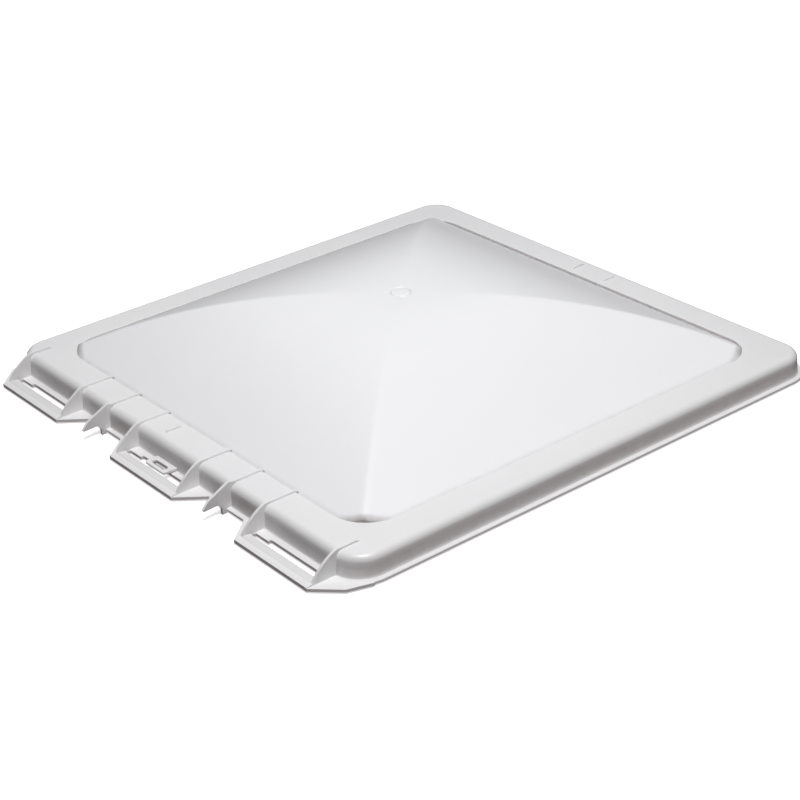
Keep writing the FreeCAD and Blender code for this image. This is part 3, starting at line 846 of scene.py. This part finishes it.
def copies_tree() -> ShapeTree:
    """Tree that sets one shape at every point, each turned about Z at random.

    Returns:
        The tree, with inputs Shape, Turn (the largest angle) and Seed.
    """
    made = ShapeTree("copies_at_points", {
        "Shape": "NodeSocketObject", "Turn": "NodeSocketFloat", "Seed": "NodeSocketInt"})
    tree = made.tree
    source = tree.node("GeometryNodeObjectInfo", None, {"Object": made.given("Shape")})
    shape = tree.out(source, "Geometry")
    angle = tree.node("FunctionNodeRandomValue", {"data_type": "FLOAT"}, {"Seed": made.given("Seed")})
    number_output = 1
    turned = tree.out(angle, number_output) * made.given("Turn")
    rotation = tree.out(tree.node("ShaderNodeCombineXYZ", None, {"Z": turned}))
    placed = tree.node("GeometryNodeInstanceOnPoints", None,
                       {"Points": made.given("Geometry"), "Instance": shape, "Rotation": rotation})
    made.end(tree.out(placed))
    return made


def dome_tree() -> ShapeTree:
    """Tree that lifts a flat plan to the dome: height falls as a power of the distance out.

    Returns:
        The tree, with an input for each of the dome's sizes.
    """
    sizes = ("Crown", "Rise", "Half Side", "Power", "Crease", "Edge Height")
    made = ShapeTree("dome_height", dict.fromkeys(sizes, "NodeSocketFloat"))
    tree = made.tree
    plan = tree.out(tree.node("GeometryNodeInputPosition"))
    flat = tree.node("ShaderNodeSeparateXYZ", None, {0: plan})
    across, along = tree.out(flat, "X"), tree.out(flat, "Y")
    out = tree.math("SMOOTH_MAX", abs(across), abs(along), made.given("Crease"))
    drop = tree.out(tree.node("GeometryNodeInputNamedAttribute", None, {"Name": "drop"}))
    fixed = tree.out(tree.node("GeometryNodeInputNamedAttribute", None, {"Name": "fixed"}))
    fall = made.given("Rise") * (out / made.given("Half Side")) ** made.given("Power")
    domed = made.given("Crown") - fall - drop
    height = domed * (1.0 - fixed) + made.given("Edge Height") * fixed
    place = tree.out(tree.node("ShaderNodeCombineXYZ", None, {"X": across, "Y": along, "Z": height}))
    lifted = tree.node("GeometryNodeSetPosition", None,
                       {"Geometry": made.given("Geometry"), "Position": place})
    made.end(tree.out(lifted))
    return made


# ---- The workshop: dresses pieces and keeps the list ----
class Workshop:
    """Gives each piece its finish, its body and its slot, and reports it."""

    def __init__(self) -> None:
        """Make every material once."""
        self.materials = {slot: finish.material() for slot, finish in finishes().items()}
        self.dome_material = dome_finish().material()

    def dress(self, piece: bpy.types.Object, slot: Slot, body: Body, stands_for: Sequence[str] = (),
              shade_share: Optional[ShadeShare] = None, material: Optional[bpy.types.Material] = None) -> None:
        """Finish one piece.

        Args:
            piece: the piece, at the origin.
            slot: the material slot that it takes its finish from.
            body: the body that it rides on.
            stands_for: CAD nodes that it replaces.
            shade_share: share of painted shade at each place on it, where that isn't plain from its
                shape.
            material: its own variant of the slot's material, if it has one.
        """
        mark_edges(piece, shade_share)
        piece.data.materials.clear()
        piece.data.materials.append(material or self.materials[slot])
        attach(piece, body.value)
        if stands_for:
            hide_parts(*stands_for)
        LOG.info("%s: %d faces, rides on %s, finish %s",
                 piece.name, len(piece.data.polygons), body.value, slot.value)

    def dress_copy(self, node: str, slot: Slot, body: Body, rounding: float,
                   against: Sequence[str] = ()) -> None:
        """Make and finish a soft-edged copy that replaces one CAD node."""
        self.dress(soft_edged(node, rounding, against), slot, body, [node])

    def copies(self, name: str, shape: bpy.types.Object, places: Sequence[Vector], slot: Slot,
               turn: float = 0.0) -> bpy.types.Object:
        """Set a shape at several places and drop the single shape.

        Args:
            name: the new piece's name.
            shape: the shape, drawn round the origin.
            places: where the copies go.
            slot: the slot whose material the copies get.
            turn: largest angle that a copy is turned by about Z.

        Returns:
            The new piece.
        """
        points = bpy.data.meshes.new(name)
        points.from_pydata([tuple(p) for p in places], [], [])
        piece = new_piece(name, points)
        values = {"Shape": shape, "Turn": turn, "Seed": TURN_SEED, "Material": self.materials[slot]}
        copies_tree().apply(piece, values)
        bpy.data.objects.remove(shape)
        return piece


# ---- Lid ----
@dataclass
class RimShell:
    """Raised rim: flange, leaning skirt, round shoulder, flat top and the inner leg round its opening."""

    corner_radius: float = 23 * MM
    opening_half: float = 169 * MM
    opening_radius: float = 27 * MM
    top: float = 17 * MM
    flange: float = 2 * MM
    lip: float = 3.5 * MM
    draft: float = 1 * MM
    shoulder: float = 5 * MM
    wall: float = 2.3 * MM
    leg_bottom: float = 12.3 * MM
    side_steps: int = 30
    arc_steps: int = 18

    def profile(self) -> list[Ring]:
        """Closed section of the rim.

        Returns:
            The rings, one after the other round the section.
        """
        flange_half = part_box("rim_frame")[1].x
        core = flange_half - self.corner_radius
        edge, foot_fillet, lip_round, under_edge = 0.8 * MM, 0.7 * MM, 0.5 * MM, 0.25 * MM
        skirt_lean, shoulder_out = 0.8, 0.29 * MM
        foot, head = flange_half - self.lip, flange_half - self.lip - self.draft
        rings: list[Ring] = []

        def ring(half: float, height: float) -> None:
            """Add a ring of the outer family, whose corners share one centre."""
            rings.append((half, half - core, height))

        def arc(half: float, height: float, radius: float, start: float, stop: float, steps: int) -> None:
            """Add rings along an arc in the section.

            Args:
                half: half side at the arc's centre.
                height: height of its centre.
                radius: its radius.
                start: the angle that it starts at, in degrees.
                stop: the angle that it stops at, in degrees.
                steps: steps along it.
            """
            for step in range(steps + 1):
                angle = math.radians(start + (stop - start) * step / steps)
                ring(half + radius * math.cos(angle), height + radius * math.sin(angle))

        inner_foot = foot - self.wall
        ring(inner_foot, 0)
        ring(flange_half - under_edge, 0)
        ring(flange_half, under_edge)
        arc(flange_half - edge, self.flange - edge, edge, 0, 90, 4)
        arc(foot + foot_fillet, self.flange + foot_fillet, foot_fillet, 270, 180, 4)
        rise = self.top - self.flange - self.shoulder
        for share in (0.25, 0.5, 0.75):
            ring(foot - self.draft * share * skirt_lean, self.flange + rise * share)
        arc(head + shoulder_out - self.shoulder, self.top - self.shoulder, self.shoulder, 3, 90, 10)
        self._opening(rings, core, lip_round)
        inner_head, roof = head - self.wall, self.top - self.wall
        inner_round = self.shoulder - self.wall
        arc(inner_head - inner_round, roof - inner_round, inner_round, 90, 0, 5)
        return rings

    def _opening(self, rings: list[Ring], core: float, lip_round: float) -> None:
        """Add the flat top's inner part, the rounded lip, the recess wall and the inner leg.

        Args:
            rings: the rings so far, which this adds to.
            core: half side of the square of the outer family's corner centres.
            lip_round: radius of the rounded lip.
        """
        least_radius = 2 * MM
        opening_core = self.opening_half - self.opening_radius
        last = rings[-1][0]
        for share in (0.35, 0.7):
            half = last + (self.opening_half + lip_round - last) * share
            radius = (1 - share) * (half - core) + share * (half - opening_core)
            rings.append((half, max(radius, least_radius), self.top))
        for angle in (90, 60, 30, 0):
            turn = math.radians(angle)
            half = self.opening_half + lip_round - lip_round * math.cos(turn)
            rings.append((half, half - opening_core, self.top - lip_round + lip_round * math.sin(turn)))
        leg_out = self.opening_half + self.wall
        rings.append((self.opening_half, self.opening_radius, self.leg_bottom))
        rings.append((leg_out, leg_out - opening_core, self.leg_bottom))
        rings.append((leg_out, leg_out - opening_core, self.top - self.wall))

    def build(self, shop: Workshop) -> None:
        """Make the rim and dress it.

        Args:
            shop: the workshop.
        """
        points = []
        profile = self.profile()
        for half, radius, height in profile:
            for point in rounded_square(half, radius, self.side_steps, self.arc_steps):
                points.append((point.x, point.y, height))
        around = 4 * (self.side_steps + self.arc_steps)
        faces = ring_faces(len(profile), around, True)
        piece = new_piece("rim_moulding", mesh_of("rim_moulding", points, faces))
        smooth(piece, SHARP_RIM)
        # painted shade down the step round the opening and low on the skirt
        shop.dress(piece, Slot.LID, Body.LID, ["rim_frame"], PaintedShade().on_rim)


@dataclass
class RimRibs:
    """Three small ribs that lie across the rim's top."""

    length: float = 12 * MM
    width: float = 2 * MM
    rise: float = 1.4 * MM
    sunk: float = 0.4 * MM
    rim_top: float = 17 * MM
    middle: float = 179 * MM
    pair_half_gap: float = 16 * MM
    hinge_side_x: float = -12.8 * MM
    rounding: float = 0.35 * MM

    def build(self, shop: Workshop) -> None:
        """Make one rib, copy it to its places and dress the set.

        Args:
            shop: the workshop.
        """
        half_l, half_w = self.length / 2, self.width / 2
        run = self.rise
        side = [(-half_l, -self.sunk), (half_l, -self.sunk), (half_l, 0), (half_l - run, self.rise),
                (run - half_l, self.rise), (-half_l, 0)]
        points = [(x, y, z) for x in (-half_w, half_w) for y, z in side]
        count = len(side)
        faces: list[Sequence[int]] = [tuple(range(count)), tuple(range(count, 2 * count))]
        faces += [(i, (i + 1) % count, count + (i + 1) % count, count + i) for i in range(count)]
        rib = new_piece("rib", mesh_of("rib", points, faces))
        rounding = rib.modifiers.new("rounded", "BEVEL")
        rounding.width = self.rounding
        rounding.segments = EDGE_STEPS
        bake(rib)
        places = [Vector((self.hinge_side_x, -self.middle, self.rim_top))]
        places += [Vector((x, self.middle, self.rim_top))
                   for x in (-self.pair_half_gap, self.pair_half_gap)]
        piece = shop.copies("rim_ribs", rib, places, Slot.LID)
        smooth(piece, SHARP_COPY)
        shop.dress(piece, Slot.LID, Body.LID)


@dataclass
class DomeShell:
    """Four-sided dome with softened creases, a gate ring at its crown and screw bosses underneath."""

    radius: float = 27 * MM
    wall: float = 2.3 * MM
    rise: float = 45 * MM
    power: float = 2.4
    crease: float = 5 * MM
    edge_round: float = 0.45 * MM
    border: float = 7 * MM
    border_rings: int = 7
    gate_radius: float = 6.9 * MM
    gate_half_width: float = 0.8 * MM
    gate_depth: float = 0.5 * MM
    round_until: float = 22 * MM
    screw_x: float = 8 * MM
    screw_y: float = 73 * MM
    boss_radius: float = 4.2 * MM
    pilot_radius: float = 1.35 * MM
    pilot_skin: float = 0.9 * MM
    boss_sides: int = 40
    side_steps: int = 44
    arc_steps: int = 28
    rings: int = 44

    def gate_drop(self, distance: float) -> float:
        """Depth of the gate ring at a distance from the middle."""
        off = abs(distance - self.gate_radius) / self.gate_half_width
        return self.gate_depth * (0.5 + 0.5 * math.cos(math.pi * off)) if off < 1 else 0.0

    def top_radii(self, reach: float) -> list[float]:
        """Ring distances along the shortest ray, closer together round the gate ring.

        Args:
            reach: distance of the last ring.

        Returns:
            The distances, from the middle out.
        """
        fine = [self.gate_radius + self.gate_half_width * step / 4 for step in range(-4, 5)]
        coarse = [2.5 * MM, 4.5 * MM]
        border = reach - self.border
        beyond = [fine[-1] + (border - fine[-1]) * (step / self.rings)
                  for step in range(1, self.rings + 1)]
        edge = [border + self.border * step / self.border_rings
                for step in range(1, self.border_rings + 1)]
        return coarse + fine + beyond + edge

    def build(self, shop: Workshop) -> None:
        """Make the dome and its bosses and dress them.

        Args:
            shop: the workshop.
        """
        low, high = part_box("dome_panel")
        half = high.x
        outline = rounded_square(half, self.radius, self.side_steps, self.arc_steps)
        inner = rounded_square(half - self.wall, self.radius - self.wall,
                               self.side_steps, self.arc_steps)
        around = len(outline)
        points: list[Vector] = []
        drops: list[float] = []
        fixed: list[float] = []

        def ring(places: Sequence[Vector], drop: float, is_fixed: float) -> None:
            """Add one ring of points.

            Args:
                places: its points.
                drop: how far it lies under the dome's surface.
                is_fixed: 1 where it lies at the dome's foot, 0 elsewhere.
            """
            points.extend(places)
            drops.extend([drop] * around)
            fixed.extend([is_fixed] * around)

        for distance in self.top_radii(half - self.edge_round):
            squareness = min(1.0, max(0.0, (distance - self.round_until) / (half / 2)))
            squareness = squareness * squareness * (3 - 2 * squareness)
            places = []
            for corner in outline:
                long_way = corner.length / half
                places.append(corner.normalized() * distance * (1 + (long_way - 1) * squareness))
            ring(places, self.gate_drop(distance), 0.0)
        for angle in (60, 30, 0):
            turn = math.radians(angle)
            inset = self.edge_round * (1 - math.cos(turn))
            ring([p * (1 - inset / half) for p in outline], self.edge_round * (1 - math.sin(turn)), 0.0)
        ring(outline, 0.0, 1.0)
        ring(inner, 0.0, 1.0)
        for step in range(self.rings, 0, -1):
            ring([p * (step / self.rings) for p in inner], self.wall, 0.0)
        total = len(points) // around
        faces: list[Sequence[int]] = list(ring_faces(total, around, False))
        for first, drop in ((0, 0.0), ((total - 1) * around, self.wall)):
            points.append(Vector((0, 0, 0)))
            drops.append(drop)
            fixed.append(0.0)
            tip = len(points) - 1
            faces += [(tip, first + i, first + (i + 1) % around) for i in range(around)]
        mesh = bpy.data.meshes.new("dome_moulding")
        mesh.from_pydata([tuple(p) for p in points], [], faces)
        for name, values in (("drop", drops), ("fixed", fixed)):
            mesh.attributes.new(name, "FLOAT", "POINT").data.foreach_set("value", values)
        piece = new_piece("dome_moulding", mesh)
        dome_tree().apply(piece, {
            "Crown": high.z, "Rise": self.rise, "Half Side": half, "Power": self.power,
            "Crease": self.crease, "Edge Height": low.z, "Material": shop.materials[Slot.LID]})
        turn_outwards(piece.data)
        for name in ("drop", "fixed"):
            piece.data.attributes.remove(piece.data.attributes[name])
        smooth(piece, SHARP_ROUND)
        # painted shade round the dome's foot, darkest at its corners
        shop.dress(piece, Slot.LID, Body.LID, ["dome_panel"], PaintedShade().on_dome,
                   shop.dome_material)
        self._bosses(shop, high.z, half)

    def _bosses(self, shop: Workshop, crown: float, half: float) -> None:
        """Make the four screw bosses that hang from the dome to the track.

        Args:
            shop: the workshop.
            crown: height of the dome's crown.
            half: half the dome's side.
        """
        under = crown - self.rise * (self.screw_y / half) ** self.power - self.wall
        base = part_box("lift_track")[1].z
        flare, ease, sunk = 0.9 * MM, 0.35 * MM, 1.1 * MM
        hole_top = under - self.pilot_skin
        outline = [
            (0.0, hole_top), (self.pilot_radius, hole_top), (self.pilot_radius, base + ease),
            (self.pilot_radius + ease, base), (self.boss_radius - ease, base),
            (self.boss_radius, base + ease), (self.boss_radius, under - 2 * flare),
            (self.boss_radius + 0.3 * flare, under - flare), (self.boss_radius + flare, under),
            (self.boss_radius + flare, under + sunk), (0.0, under + sunk),
        ]
        boss = new_piece("boss", lathe("boss", outline, self.boss_sides))
        places = [Vector((x, y, 0))
                  for x in (-self.screw_x, self.screw_x) for y in (-self.screw_y, self.screw_y)]
        piece = shop.copies("screw_bosses", boss, places, Slot.LID)
        smooth(piece, SHARP_ROUND)
        shop.dress(piece, Slot.LID, Body.LID)


@dataclass
class HingeEdge:
    """Slide-on hinge loops, stop fins and the latch tongue."""

    rounding: float = 0.32 * MM
    shell: tuple[str, ...] = ("rim_frame",)

    def build(self, shop: Workshop) -> None:
        """Make and dress the moulded features along the hinge edge.

        Args:
            shop: the workshop.
        """
        for place in ("left", "middle", "right"):
            shop.dress_copy("hinge_loop_" + place, Slot.LID, Body.LID, self.rounding, self.shell)
        for place in ("left", "right"):
            shop.dress_copy("slide_stop_" + place, Slot.LID, Body.LID, self.rounding, self.shell)
        shop.dress_copy("latch_tongue", Slot.LID, Body.LATCH, self.rounding)


@dataclass
class FoamSeal:
    """Foam strip under the rim, in four mitred lengths."""

    rounding: float = 0.9 * MM

    def build(self, shop: Workshop) -> None:
        """Make and dress the four strips.

        Args:
            shop: the workshop.
        """
        sides = ("front", "right", "back", "left")
        for place, side in enumerate(sides):
            beside = ["seal_" + sides[place - 1], "seal_" + sides[(place + 1) % 4], "rim_frame"]
            shop.dress_copy("seal_" + side, Slot.FOAM, Body.LID, self.rounding, beside)


@dataclass
class LiftGear:
    """Slotted track with its plugs and screws, and the trolley that runs in it."""

    fine: float = 0.18 * MM
    bold: float = 0.35 * MM

    def build(self, shop: Workshop) -> None:
        """Make and dress the track and the trolley.

        Args:
            shop: the workshop.
        """
        shop.dress_copy("lift_track", Slot.ZINC, Body.LID, self.bold)
        for place in ("front", "back"):
            shop.dress_copy("track_plug_" + place, Slot.PLUG, Body.LID, self.bold)
        self._screws(shop)
        shop.dress_copy("trolley_axle", Slot.AXLE, Body.TROLLEY, self.fine)
        shop.dress_copy("axle_clips", Slot.CLIP, Body.TROLLEY, self.fine / 2)
        shop.dress_copy("axle_spacers", Slot.ROLLER, Body.TROLLEY, self.fine)
        shop.dress_copy("roller_left", Slot.ROLLER, Body.ROLLER_LEFT, self.fine / 2)
        shop.dress_copy("roller_right", Slot.ROLLER, Body.ROLLER_RIGHT, self.fine / 2)
        shop.dress_copy("lift_yoke", Slot.YOKE, Body.YOKE, self.bold)
        shop.dress_copy("yoke_bushing", Slot.BUSH, Body.YOKE, self.fine)

    def _screws(self, shop: Workshop) -> None:
        """Take one screw from the frame and copy it to the four holes, each driven to its own angle.

        Args:
            shop: the workshop.
        """
        low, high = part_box("track_screws")
        head = 3.3 * MM
        corner = Vector((high.x - head, high.y - head, 0))
        screw = soft_edged("track_screws", self.fine)
        work = bmesh.new()
        work.from_mesh(screw.data)
        far = [v for v in work.verts if (v.co.xy - corner.xy).length > 2 * head]
        bmesh.ops.delete(work, geom=far, context="VERTS")
        bmesh.ops.translate(work, vec=-corner, verts=work.verts)
        work.to_mesh(screw.data)
        work.free()
        places = [Vector((x, y, 0))
                  for x in (low.x + head, corner.x) for y in (low.y + head, corner.y)]
        piece = shop.copies("track_screws_finished", screw, places, Slot.SCREW, turn=math.pi)
        smooth(piece, SHARP_COPY)
        shop.dress(piece, Slot.SCREW, Body.LID, ["track_screws"])


# ---- Studio ----
def outward(azimuth: float, elevation: float) -> Vector:
    """Direction from the lid at an azimuth, from -Y towards +X, and an elevation, in radians."""
    flat = math.cos(elevation)
    return Vector((math.sin(azimuth) * flat, -math.cos(azimuth) * flat, math.sin(elevation)))


@dataclass(frozen=True)
class Softbox:
    """A square area light that faces the lid."""

    name: str
    azimuth: float
    elevation: float
    distance: float
    size: float
    power: float
    colour: tuple[float, float, float] = (1.0, 1.0, 1.0)

    def build(self) -> None:
        """Hang the light."""
        turn, lift = math.radians(self.azimuth), math.radians(self.elevation)
        out = outward(turn, lift)
        data = bpy.data.lights.new(self.name, "AREA")
        data.shape = "SQUARE"
        data.size = self.size
        data.energy = self.power
        data.color = self.colour
        lamp = bpy.data.objects.new(self.name, data)
        lamp.location = out * self.distance
        lamp.rotation_euler = out.to_track_quat("Z", "Y").to_euler()
        bpy.context.scene.collection.objects.link(lamp)


@dataclass(frozen=True)
class Studio:
    """Plain pale floor, a sky that is brighter overhead, soft lights and the camera."""

    azimuth: float = 52.315
    elevation: float = 27.627
    roll: float = -3.016
    distance: float = 1.3387
    aside: float = 0.003217
    lift: float = 0.020051
    lens: float = 87.666
    floor_half: float = 6.0
    floor_colour: Colour = (0.93, 0.93, 0.93, 1.0)
    floor_roughness: float = 0.9
    floor_glow: float = 0.55
    sky: float = 0.2
    horizon: float = 0.03
    ground: float = 0.13
    ground_edge: float = 8.0             # how sharply the ground's light starts below the horizon
    sky_colour: Colour = (0.93, 0.98, 1.0, 1.0)
    ground_colour: Colour = (1.0, 0.78, 0.74, 1.0)
    lights: tuple[Softbox, ...] = (
        Softbox("key softbox", 66, 69, 1.9, 0.6, 29.8, (1.0, 0.985, 0.98)),
        Softbox("back fill", 236, 32, 2.2, 1.4, 4.0, (0.95, 0.98, 1.0)),
    )

    def build(self) -> None:
        """Make the whole studio."""
        self._camera()
        self._floor()
        self._sky()
        for light in self.lights:
            light.build()
        bpy.context.scene.view_settings.view_transform = "Standard"

    def _camera(self) -> None:
        """Place the camera, turned about its own line of sight by the roll."""
        turn, up_angle, roll = (math.radians(a) for a in (self.azimuth, self.elevation, self.roll))
        back = outward(turn, up_angle)
        right = Vector((math.cos(turn), math.sin(turn), 0))
        up = back.cross(right)
        side = right * math.cos(roll) + up * math.sin(roll)
        top = up * math.cos(roll) - right * math.sin(roll)
        data = bpy.data.cameras.new("camera")
        data.lens = self.lens
        camera = bpy.data.objects.new("camera", data)
        place = back * self.distance - side * self.aside - top * self.lift
        facing = Matrix((side, top, back)).transposed().to_4x4()
        camera.matrix_world = Matrix.Translation(place) @ facing
        bpy.context.scene.collection.objects.link(camera)
        bpy.context.scene.camera = camera

    def _floor(self) -> None:
        """Lay the floor under the lid's lowest point."""
        reach, height = self.floor_half, CAD_LOW.z
        corners = [(-reach, -reach, height), (reach, -reach, height), (reach, reach, height),
                   (-reach, reach, height)]
        mesh = bpy.data.meshes.new("floor")
        mesh.from_pydata(corners, [], [(0, 1, 2, 3)])
        floor = new_piece("floor", mesh)
        material = bpy.data.materials.new("pale floor")
        material.use_nodes = True
        shader = material.node_tree.nodes["Principled BSDF"]
        shader.inputs["Base Color"].default_value = self.floor_colour
        shader.inputs["Roughness"].default_value = self.floor_roughness
        shader.inputs["Emission Color"].default_value = WHITE
        shader.inputs["Emission Strength"].default_value = self.floor_glow
        mesh.materials.append(material)
        floor.visible_diffuse = False
        floor.visible_glossy = False

    def _sky(self) -> None:
        """Light the lid from above and below, weakest at the horizon; the camera sees plain white."""
        world = bpy.data.worlds.new("studio sky")
        bpy.context.scene.world = world
        world.use_nodes = True
        tree = Tree(world.node_tree)
        way = tree.out(tree.node("ShaderNodeTexCoord"), "Generated")
        height = tree.out(tree.node("ShaderNodeSeparateXYZ", None, {0: way}), "Z")
        below = (-height * self.ground_edge).clamped()
        seen = tree.out(tree.node("ShaderNodeLightPath"), "Is Camera Ray")
        glow = self.horizon + self.sky * height.above(0.0) + self.ground * below
        background = world.node_tree.nodes["Background"]
        tint = tree.blend(below, self.sky_colour, self.ground_colour)
        tree.feed(background.inputs["Color"], tree.blend(seen, tint, WHITE))
        tree.feed(background.inputs["Strength"], glow * (1.0 - seen) + seen)


def main() -> None:
    """Build the studio and every piece, in order."""
    logging.basicConfig(level=logging.INFO, format="%(name)s: %(message)s")
    Studio().build()
    shop = Workshop()
    for part in (RimShell(), RimRibs(), DomeShell(), HingeEdge(), FoamSeal(), LiftGear()):
        part.build(shop)


if __name__ == "__main__":
    main()
